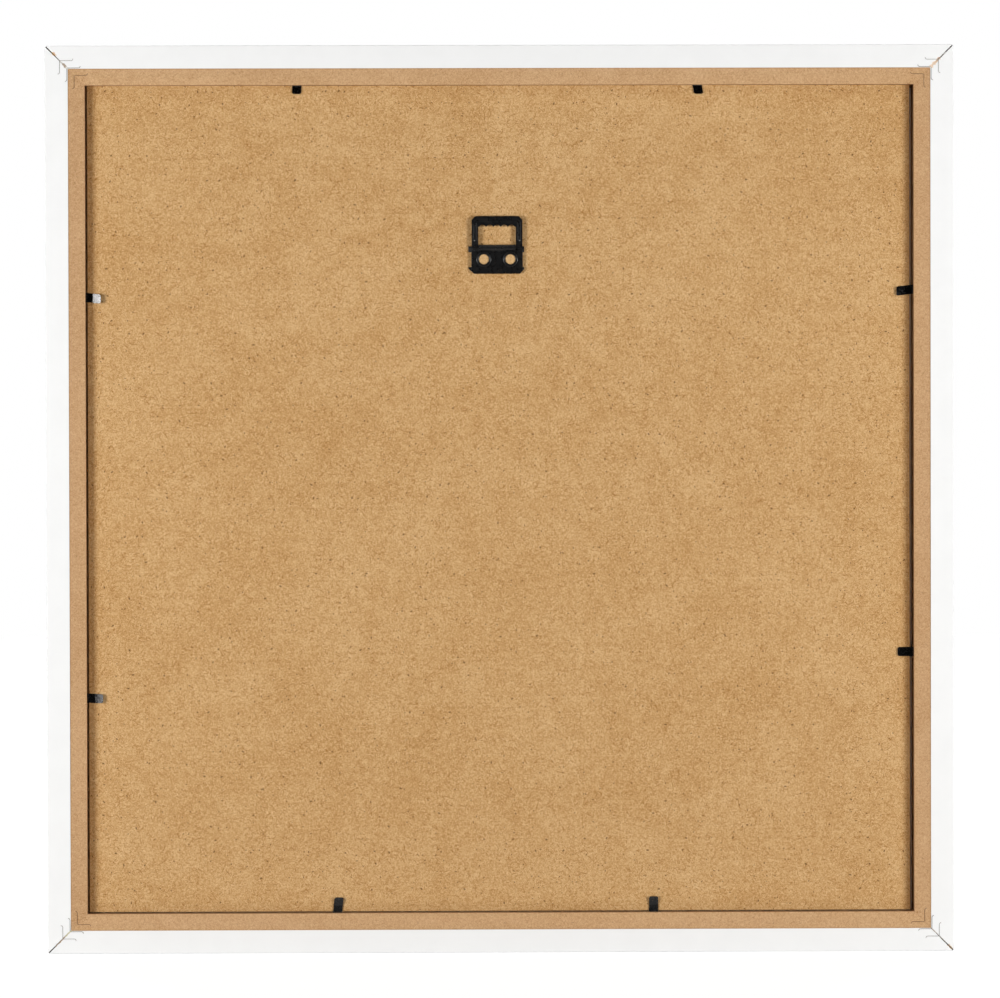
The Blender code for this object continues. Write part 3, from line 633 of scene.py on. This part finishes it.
# carried-over nodes with their finishes
carriedFinishes = {
    "rail_": makeRailFinish(),
    "foil_": foilFinish,
    "vnail_": makeNailFinish(),
    "backboard": boardFinish,
    "tab_": bluedSteelFinish,
    "tang_": makeScaleFinish(),
    "glass_pane": makeGlassFinish(),
    "picture_sheet": makePaperFinish(),
    "hanger_": blackCoatFinish,
}

for name, node in nodes.items():
    for start, finish in carriedFinishes.items():
        if name.startswith(start):
            node.data.materials.clear()
            node.data.materials.append(finish)
print("nodes finished")


# mesh helpers

# closer than this counts as the same place
tiny = 0.000002


def addObject(name, data):
    made = bpy.data.objects.new(name, data)
    scene.collection.objects.link(made)
    return made


def addMesh(name, bm, finish):
    mesh = bpy.data.meshes.new(name)
    bm.to_mesh(mesh)
    bm.free()
    mesh.materials.append(finish)
    return addObject(name, mesh)


def newPiece(name, bm, finish, body, smoothAngle=35.0):
    piece = addMesh(name, bm, finish)
    piece.data.shade_smooth()
    piece.data.set_sharp_from_angle(angle=math.radians(smoothAngle))
    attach(piece, body)
    return piece


# gives a flat piece its sheet's thickness and soft edges
def addSheet(piece, thickness, edge, angle=40.0):
    solid = piece.modifiers.new("sheetThickness", "SOLIDIFY")
    solid.thickness = thickness
    solid.offset = 0.0
    solid.use_even_offset = True
    bevel = piece.modifiers.new("softEdges", "BEVEL")
    bevel.width = edge
    bevel.segments = 2
    bevel.limit_method = "ANGLE"
    bevel.angle_limit = math.radians(angle)
    bevel.harden_normals = True


def vertsIn(items):
    return [item for item in items if isinstance(item, bmesh.types.BMVert)]


def edgesIn(items):
    return [item for item in items if isinstance(item, bmesh.types.BMEdge)]


def wholeOf(bm):
    return list(bm.verts) + list(bm.edges) + list(bm.faces)


def joinUp(bm):
    bmesh.ops.remove_doubles(bm, verts=bm.verts, dist=tiny)


# a node's mesh, joined up where its corners meet
def mergedCopy(nodeName):
    bm = bmesh.new()
    bm.from_mesh(nodes[nodeName].data)
    joinUp(bm)
    return bm


# closed outline of (x, z) points at a depth
def addOutline(bm, points, depth):
    verts = [bm.verts.new((x, depth, z)) for x, z in points]
    return [bm.edges.new((verts[i], verts[(i + 1) % len(verts)])) for i in range(len(verts))]


def roundCorners(bm, corners, radius, steps):
    bmesh.ops.bevel(bm, geom=corners, offset=radius, offset_type="OFFSET", segments=steps, profile=0.5,
                    material=-1, affect="VERTICES")


def addRing(bm, x, z, radius, depth, steps=40):
    turn = Matrix.Translation((x, depth, z)) @ Matrix.Rotation(math.radians(90), 4, "X")
    made = bmesh.ops.create_circle(bm, cap_ends=False, segments=steps, radius=radius, matrix=turn)
    return list({edge for vert in made["verts"] for edge in vert.link_edges})


# wrap: the same solids, merged so that their rounded edges shade smoothly

def smoothWrap(nodeName, pieceName):
    bm = mergedCopy(nodeName)
    bmesh.ops.dissolve_limit(bm, angle_limit=math.radians(0.5), verts=bm.verts, edges=bm.edges)
    piece = newPiece(pieceName, bm, foilFinish, "frame", 32.0)
    weighted = piece.modifiers.new("flatFaces", "WEIGHTED_NORMAL")
    weighted.keep_sharp = True
    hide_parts(nodeName)
    return piece


for side in ("top", "bottom", "left", "right"):
    smoothWrap("foil_" + side, "wrap" + side.capitalize())
print("wrap done")


# backboard: the same solid, pushed up until its top edge almost meets the rail, with fuller plugs in the rivets

panel = {"lift": 0.00017, "plugRise": 0.00055, "plugFoot": 0.0005}


def makeBoardPanel():
    bm = mergedCopy("backboard")
    top = max(vert.co.z for vert in bm.verts)
    edge = [vert for vert in bm.verts if vert.co.z > top - panel["lift"]]
    bmesh.ops.translate(bm, verts=edge, vec=(0, 0, panel["lift"]))
    plugs = [vert for vert in bm.verts if vert.co.y > boardY + panel["plugFoot"]]
    bmesh.ops.translate(bm, verts=plugs, vec=(0, panel["plugRise"], 0))
    piece = newPiece("boardPanel", bm, boardFinish, "frame", 1.0)
    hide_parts("backboard")


makeBoardPanel()
print("backboard done")


# glue that has run into the open mitres

def makeMitreGlue(name, across, upward):
    bm = bmesh.new()
    corner = Vector((middleX + across * halfOutside, 0, middleZ + upward * halfOutside))
    inward = Vector((-across, 0, -upward)).normalized()
    aside = Vector((upward, 0, -across)).normalized()
    rows = []
    for reach, below in glueTops:
        share = reach * math.sqrt(0.5) / glue["mouldingWidth"]
        half = (glue["openOutside"] + (glue["openInside"] - glue["openOutside"]) * share) / 2 - glue["spare"]
        spot = corner + inward * reach
        foot, top = cadLow.y + glue["foot"], backY - below
        rows.append([bm.verts.new(spot + aside * side * half + Vector((0, depth, 0)))
                     for side, depth in ((-1, foot), (1, foot), (1, top), (-1, top))])
    rings = [[bm.edges.new((row[i], row[(i + 1) % 4])) for i in range(4)] for row in rows]
    for near, far in zip(rings, rings[1:]):
        bmesh.ops.bridge_loops(bm, edges=near + far)
    bmesh.ops.holes_fill(bm, edges=bm.edges, sides=4)
    bmesh.ops.recalc_face_normals(bm, faces=bm.faces)
    newPiece(name, bm, glueFinish, "frame")


for upName, upward in (("Top", 1), ("Bottom", -1)):
    for sideName, across in (("Left", 1), ("Right", -1)):
        makeMitreGlue("mitreGlue" + upName + sideName, across, upward)
print("glue done")


# hanger

plate = {
    "thickness": 0.0007, "halfWidth": 0.01555, "foot": -0.0159, "cornerCut": 0.0017, "edge": 0.00012,
    "rearDepth": -0.00130, "rearShift": 0.0005, "earReach": 0.00135,
    "upperEar": (-0.0028, 0.0008), "lowerEar": (-0.0142, -0.0118),
    "frontDepth": -0.00045, "neckHalf": 0.0111, "neckTurn": 230.0, "neckFoot": -0.00207,
    "neckTail": 0.0012, "holeRadius": 0.00365, "rearStep": 0.0001,
}


def placeAtLoop(bm):
    bmesh.ops.translate(bm, verts=bm.verts, vec=loopAxis)
    bmesh.ops.recalc_face_normals(bm, faces=bm.faces)


# fills a leaf's outline, around its two rivet holes
def fillLeaf(bm, edges, depth):
    for side in (-1, 1):
        edges += addRing(bm, side * rivetHalf, rivetHeight - loopAxis.z, plate["holeRadius"], depth)
    bmesh.ops.triangle_fill(bm, edges=edges, use_beauty=True)


# the rear leaf lies on the board and carries the four ears
def makeRearLeaf():
    p = plate
    half, reach = p["halfWidth"], p["halfWidth"] + p["earReach"]
    cut = p["cornerCut"]
    low, lowTop = p["lowerEar"]
    up, upTop = p["upperEar"]
    sides = {}
    for side in (-1, 1):
        ear = side * reach + p["rearShift"]
        sides[side] = [(side * (half - cut), p["foot"] + p["rearStep"]), (side * half, low), (ear, low + p["earReach"]),
                       (ear, lowTop), (side * half, lowTop), (side * half, up), (ear, up), (ear, upTop)]
    outline = sides[1] + list(reversed(sides[-1]))
    bm = bmesh.new()
    edges = addOutline(bm, outline, p["rearDepth"])
    fillLeaf(bm, edges, p["rearDepth"])
    placeAtLoop(bm)
    piece = newPiece("hangerRearLeaf", bm, blackCoatFinish, "frame")
    addSheet(piece, p["thickness"] - p["rearStep"], p["edge"])


# the front leaf is the same strip, rolled over the loop's cross bar and folded down
def makeFrontLeaf():
    p = plate
    half, cut, neck = p["halfWidth"], p["cornerCut"], p["neckHalf"]
    bm = bmesh.new()
    # rolled neck, from the rear leaf's plane over the bar
    start = [bm.verts.new((x, p["rearDepth"], 0)) for x in (-neck, neck)]
    line = bm.edges.new(start)
    rolled = bmesh.ops.spin(bm, geom=[line], cent=(0, 0, 0), axis=(-1, 0, 0),
                            angle=math.radians(p["neckTurn"]), steps=22, use_merge=False)
    down = bmesh.ops.extrude_edge_only(bm, edges=edgesIn(rolled["geom_last"]))
    for vert in vertsIn(down["geom"]):
        vert.co.y = p["frontDepth"]
        vert.co.z = p["neckFoot"]
    # short tail of the neck down the rear leaf
    tail = bmesh.ops.extrude_edge_only(bm, edges=[line])
    bmesh.ops.translate(bm, verts=vertsIn(tail["geom"]), vec=(0, 0, -p["neckTail"]))
    # flat leaf below the neck
    outline = [(-neck, p["neckFoot"]), (-half, p["neckFoot"]), (-half, p["foot"] + cut), (cut - half, p["foot"]),
               (half - cut, p["foot"]), (half, p["foot"] + cut), (half, p["neckFoot"]), (neck, p["neckFoot"])]
    edges = addOutline(bm, outline, p["frontDepth"])
    fillLeaf(bm, edges, p["frontDepth"])
    joinUp(bm)
    placeAtLoop(bm)
    piece = newPiece("hangerFrontLeaf", bm, blackCoatFinish, "frame", 50.0)
    addSheet(piece, p["thickness"], p["edge"], 55.0)
    return piece


makeRearLeaf()
frontLeaf = makeFrontLeaf()
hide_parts("hanger_base")

loop = {
    "thickness": 0.0009, "halfWidth": 0.0154, "rise": 0.0190, "cornerCut": 0.0022, "leg": 0.0040,
    "bar": 0.0012, "combBar": 0.00515, "pitch": 0.0044, "notches": 5, "depth": 0.00125, "tip": 0.0005,
    "shoulder": 0.0002, "edge": 0.00013, "footRadius": 0.0008, "cornerRound": 0.0006,
    "beadHalf": 0.00092, "beadHeight": 0.00028, "beadStart": 0.0038, "beadTurn": 0.0018,
}


def arcPoints(x, z, radius, start, end, steps):
    return [(x + radius * math.cos(math.radians(start + (end - start) * i / steps)),
             z + radius * math.sin(math.radians(start + (end - start) * i / steps))) for i in range(steps + 1)]


def makeLoopPlate():
    p = loop
    half, cut, inner = p["halfWidth"], p["cornerCut"], p["halfWidth"] - p["leg"]
    top = p["rise"] - p["combBar"]
    bm = bmesh.new()
    outline = [(-half, -p["bar"] / 2), (half, -p["bar"] / 2), (half, p["rise"] - cut), (half - cut, p["rise"]),
               (cut - half, p["rise"]), (-half, p["rise"] - cut)]
    addOutline(bm, outline, 0)
    roundCorners(bm, [vert for vert in bm.verts if vert.co.z > p["bar"]], p["cornerRound"], 5)
    edges = list(bm.edges)
    tips = top - p["depth"]
    chord = p["pitch"] - p["tip"]
    radius = (chord * chord / 4 + p["depth"] ** 2) / (2 * p["depth"])
    spread = math.degrees(math.asin(chord / 2 / radius))
    foot = p["footRadius"]
    window = arcPoints(foot - inner, p["bar"] / 2 + foot, foot, 180, 270, 5)
    window += arcPoints(inner - foot, p["bar"] / 2 + foot, foot, 270, 360, 5)
    window.append((inner, tips - p["shoulder"]))
    for notch in reversed(range(p["notches"])):
        middle = (notch - (p["notches"] - 1) / 2) * p["pitch"]
        window += arcPoints(middle, top - radius, radius, 90 - spread, 90 + spread, 10)
    window.append((-inner, tips - p["shoulder"]))
    edges += addOutline(bm, window, 0)
    bmesh.ops.triangle_fill(bm, edges=edges, use_beauty=True)
    placeAtLoop(bm)
    piece = newPiece("hangerLoopPlate", bm, blackCoatFinish, "loop")
    addSheet(piece, p["thickness"], p["edge"])
    return piece


# the pressed bead: one cross-section drawn up a leg, round the corner and over the bar
def makeLoopBead():
    p = loop
    legX = p["halfWidth"] - p["leg"] / 2
    barZ = p["rise"] - p["combBar"] / 2
    face = p["thickness"] / 2
    half, high, turn = p["beadHalf"], p["beadHeight"], p["beadTurn"]
    # from the foot to the middle, as shares of its half width and height
    flank = [(1.0, -0.14), (0.97, 0.0), (0.93, 0.10), (0.88, 0.36), (0.84, 0.64), (0.80, 0.85), (0.74, 0.96),
             (0.66, 0.99), (0.0, 1.0)]
    section = [(-half * across, high * up) for across, up in flank]
    section += [(half * across, high * up) for across, up in reversed(flank[:-1])]
    bm = bmesh.new()
    points = [bm.verts.new((legX + across, face + up, p["beadStart"] + half)) for across, up in section]
    edges = [bm.edges.new(pair) for pair in zip(points, points[1:])]
    # rounded end, from the outer half of the section
    outer = [edge for edge in edges if min(vert.co.x for vert in edge.verts) > legX - tiny]
    bmesh.ops.spin(bm, geom=outer, cent=(legX, 0, p["beadStart"] + half), axis=(0, 1, 0),
                   angle=math.radians(180), steps=12, use_merge=False)
    rise = bmesh.ops.extrude_edge_only(bm, edges=edges)
    bmesh.ops.translate(bm, verts=vertsIn(rise["geom"]), vec=(0, 0, barZ - turn - p["beadStart"] - half))
    last = [edge for edge in edgesIn(rise["geom"])
            if all(abs(vert.co.z - (barZ - turn)) < tiny for vert in edge.verts)]
    swung = bmesh.ops.spin(bm, geom=last, cent=(legX - turn, 0, barZ - turn), axis=(0, -1, 0),
                           angle=math.radians(90), steps=8, use_merge=False)
    across = bmesh.ops.extrude_edge_only(bm, edges=edgesIn(swung["geom_last"]))
    for vert in vertsIn(across["geom"]):
        vert.co.x = 0
    bmesh.ops.mirror(bm, geom=wholeOf(bm), axis="X", merge_dist=tiny)
    joinUp(bm)
    placeAtLoop(bm)
    if sum(face.normal.y * face.calc_area() for face in bm.faces) < 0:
        bmesh.ops.reverse_faces(bm, faces=bm.faces)
    newPiece("hangerLoopBead", bm, blackCoatFinish, "loop", 70.0)


loopPlate = makeLoopPlate()
makeLoopBead()
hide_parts("hanger_loop")

rivet = {"bore": 0.0031, "boreRoom": 0.00004, "wall": 0.0004, "flange": 0.0046, "crown": 0.0006,
         "tubeFoot": -0.0022, "seat": 0.00185, "roundSteps": 16}


# tubular rivets, each rolled over the front leaf
def makeRivet(name, x):
    p = rivet
    seat = boardY + p["seat"]
    middle = (p["bore"] + p["flange"]) / 2
    reach = p["flange"] - middle
    foot, steps = boardY + p["tubeFoot"], p["roundSteps"]
    profile = [(p["bore"] + p["boreRoom"], foot)]
    for step in range(steps + 1):
        angle = math.radians(180 - 180 * step / steps)
        rise = p["crown"] * math.sin(angle) ** 0.8 if 0 < step < steps else 0.0
        profile.append((middle + reach * math.cos(angle), seat + rise))
    profile += [(p["bore"] + p["wall"], seat), (p["bore"] + p["wall"], foot)]
    bm = bmesh.new()
    points = [bm.verts.new((radius, depth, 0)) for radius, depth in profile]
    edges = [bm.edges.new(pair) for pair in zip(points, points[1:] + points[:1])]
    bmesh.ops.spin(bm, geom=points + edges, cent=(0, 0, 0), axis=(0, 1, 0), angle=2 * math.pi, steps=56,
                   use_merge=True)
    joinUp(bm)
    bmesh.ops.recalc_face_normals(bm, faces=bm.faces)
    bmesh.ops.translate(bm, verts=bm.verts, vec=(x, 0, rivetHeight))
    return newPiece(name, bm, blackCoatFinish, "frame", 40.0)


for side, sign in (("left", 1), ("right", -1)):
    made = makeRivet("hangerRivet" + side.capitalize(), loopAxis.x + sign * rivetHalf)
    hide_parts("hanger_rivet_" + side)
print("hanger done")

# bend-up points; the cuts are where the strip is turned up, counted from the middle of its crease

point = {"width": 0.0056, "thickness": 0.0004, "tipRadius": 0.0013, "edge": 0.00008, "root": 0.00027,
         "cutStep": 0.00025, "cuts": (-1.5, -0.5, 0.5, 1.5), "nearCut": 0.15, "farCut": 0.8}
# reach from the bend, lean, crease from the bend, turn of the tip
pointShapes = {
    "top_left": (0.0044, -2.0, 0.0018, 4.0),
    "top_right": (0.0047, 9.0, 0.0020, 4.0),
    "bottom_left": (0.0087, -6.5, 0.0037, 10.0),
    "bottom_right": (0.0088, 0.0, 0.0036, 12.0),
    "left_upper": (0.0090, -7.0, 0.0034, 24.0),
    "left_lower": (0.0092, -2.0, 0.0038, 16.7),
    "right_upper": (0.0096, 7.0, 0.0044, 9.0),
    "right_lower": (0.0090, 0.0, 0.0042, 3.0),
}
sideTurns = {"bottom": 0.0, "right": 90.0, "top": 180.0, "left": -90.0}


def makePoint(name):
    reach, lean, crease, tipTurn = pointShapes[name]
    turned = Matrix.Rotation(math.radians(sideTurns[name.split("_")[0]]), 4, "Y")
    joint = [item for item in frame["joints"] if item["name"] == "bend_" + name][0]
    bm = bmesh.new()
    # a strip in x and z, from the bend at z = 0 to its tip
    lay = Matrix.Translation((0, 0, reach / 2)) @ Matrix.Rotation(math.radians(90), 4, "X")
    bmesh.ops.create_grid(bm, x_segments=1, y_segments=1, size=0.5, matrix=lay @ Matrix.Diagonal(
        (point["width"], reach, 1, 1)))
    roundCorners(bm, [vert for vert in bm.verts if vert.co.z > reach / 2], point["tipRadius"], 6)
    for vert in bm.verts:
        if vert.co.z < tiny:
            vert.co.z = -point["root"]
    # cuts across the strip where it is turned up, then a little turn at each cut
    cuts = [crease + count * point["cutStep"] for count in point["cuts"]]
    for height in [reach * point["nearCut"]] + cuts + [reach * point["farCut"]]:
        bmesh.ops.bisect_plane(bm, geom=wholeOf(bm), plane_co=(0, 0, height), plane_no=(0, 0, 1))
    hinges = [Vector((0, 0, height)) for height in cuts]
    step = math.radians(tipTurn / len(cuts))
    turn = Matrix.Rotation(-step, 3, "X")
    heading = Vector((0, 0, 1))
    for index, hinge in enumerate(hinges):
        beyond = [vert for vert in bm.verts if (vert.co - hinge).dot(heading) > tiny]
        bmesh.ops.rotate(bm, verts=beyond, cent=hinge, matrix=turn)
        heading = Vector((0, math.sin(step * (index + 1)), math.cos(step * (index + 1))))
        for later in range(index + 1, len(hinges)):
            hinges[later] = hinge + turn @ (hinges[later] - hinge)
    slope = math.tan(math.radians(lean))
    for vert in bm.verts:
        vert.co.x += vert.co.z * slope
    bmesh.ops.transform(bm, verts=bm.verts, matrix=Matrix.Translation(joint["pos_m"]) @ turned)
    bmesh.ops.recalc_face_normals(bm, faces=bm.faces)
    piece = newPiece("point" + name.title().replace("_", ""), bm, bluedSteelFinish, "point_" + name)
    addSheet(piece, point["thickness"], point["edge"])
    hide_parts("tab_" + name)


for name in pointShapes:
    makePoint(name)
print("points done")

# studio

studio = {"floorSize": 9.0, "floorGap": 0.0002, "floorTone": 0.40, "shadowTone": 0.22, "fill": 0.02,
          "lampWidth": 0.60, "lampHeight": 0.54,
          # sideways, away from the back, upwards, and power
          "back": (1.54, 1.15, 0.0, 26.7), "front": (0.55, -1.30, 1.25, 16.5),
          # from and to, and the levels there
          "floorFade": (-0.05, 0.40, 1.0, 0.04), "rimFade": (0.8, 2.6, 0.93, 1.0), "roomFade": (0.35, 0.80, 1.0, 0.03)}
view = {"lens": 200.0, "sensor": 36, "reach": 50, "away": 3.3665, "left": 0.0381, "up": 0.0598,
        "aimLeft": 0.00023, "aimUp": 0.0002, "roll": -0.1385}
backMiddle = Vector((middleX, backY, middleZ))


# whether a ray shows the surface itself, so that it can read as white
def seenRays(tree):
    rays = addNode(tree, "LightPath").outputs
    return rays, largest(tree, rays["Is Camera Ray"], rays["Is Glossy Ray"], rays["Is Transmission Ray"])


def makeFloor():
    bm = bmesh.new()
    bmesh.ops.create_grid(bm, x_segments=2, y_segments=2, size=studio["floorSize"] / 2)
    bmesh.ops.translate(bm, verts=bm.verts, vec=(middleX, backY, cadLow.z - studio["floorGap"]))
    material, tree, shader, place = newFinish("paleFloorPaper", Base_Color=grey(studio["floorTone"]),
                                              Roughness=0.9, Specular_IOR_Level=0.0)
    # seen directly it reads as white, less the shadow, and polished metal finds it darker towards the camera
    rays, seen = seenRays(tree)
    shade = largest(tree, ramped(tree, axesOf(tree, place)["Y"], *studio["floorFade"]),
                    minus(tree, 1.0, rays["Is Glossy Ray"]))
    outwards = addNode(tree, "VectorMath", {0: place}, operation="LENGTH").outputs["Value"]
    level = times(tree, shade, ramped(tree, outwards, *studio["rimFade"]))
    glow = addNode(tree, "Emission", {"Color": grey(1.0), "Strength": level})
    faint = addNode(tree, "BsdfDiffuse", {"Color": grey(studio["shadowTone"])})
    both = addNode(tree, "AddShader", {0: glow.outputs[0], 1: faint.outputs[0]})
    pick = addNode(tree, "MixShader", {0: seen, 1: shader.outputs[0], 2: both.outputs[0]})
    tree.links.new(pick.outputs[0], tree.nodes["Material Output"].inputs["Surface"])
    addMesh("paleFloor", bm, material)


def makeWorld():
    world = bpy.data.worlds.new("paleRoom")
    scene.world = world
    world.use_nodes = True
    tree = world.node_tree
    rays, seen = seenRays(tree)
    # polished metal also finds the dark end of the room, behind the frame
    heading = axesOf(tree, addNode(tree, "TexCoord").outputs["Generated"])
    shade = largest(tree, ramped(tree, heading["Y"], *studio["roomFade"]), rays["Is Camera Ray"])
    fill = addNode(tree, "Background", {"Color": grey(1.0), "Strength": studio["fill"]})
    white = addNode(tree, "Background", {"Color": greyOf(tree, shade), "Strength": 1.0})
    pick = addNode(tree, "MixShader", {0: seen, 1: fill.outputs[0], 2: white.outputs[0]})
    tree.links.new(pick.outputs[0], tree.nodes["World Output"].inputs["Surface"])


# two softboxes towards the frame's back, left and right, and a pair above its front, which also light its top
def makeLamps():
    for row, side, sign in (("back", "Left", 1), ("back", "Right", -1), ("front", "Left", 1), ("front", "Right", -1)):
        sideways, away, up, power = studio[row]
        data = bpy.data.lights.new(row + side, "AREA")
        data.shape = "RECTANGLE"
        data.size = studio["lampWidth"]
        data.size_y = studio["lampHeight"]
        data.energy = power
        lamp = addObject(row + side, data)
        lamp.location = backMiddle + Vector((sign * sideways, away, up))
        lamp.rotation_euler = (backMiddle - lamp.location).to_track_quat("-Z", "Y").to_euler()
        lamp.visible_camera = False


# long lens, nearly square to the back; 0.607 mm to a pixel at the back's plane
def makeCamera():
    data = bpy.data.cameras.new("backView")
    data.lens = view["lens"]
    data.sensor_width = view["sensor"]
    data.clip_end = view["reach"]
    camera = addObject("backView", data)
    camera.location = backMiddle + Vector((view["left"], view["away"], view["up"]))
    aim = backMiddle + Vector((view["aimLeft"], 0, view["aimUp"]))
    turn = (aim - camera.location).to_track_quat("-Z", "Y") @ Quaternion((0, 0, 1), math.radians(view["roll"]))
    camera.rotation_euler = turn.to_euler()
    scene.camera = camera


makeFloor()
makeWorld()
makeLamps()
makeCamera()
scene.view_settings.view_transform = "Standard"
print("studio done")
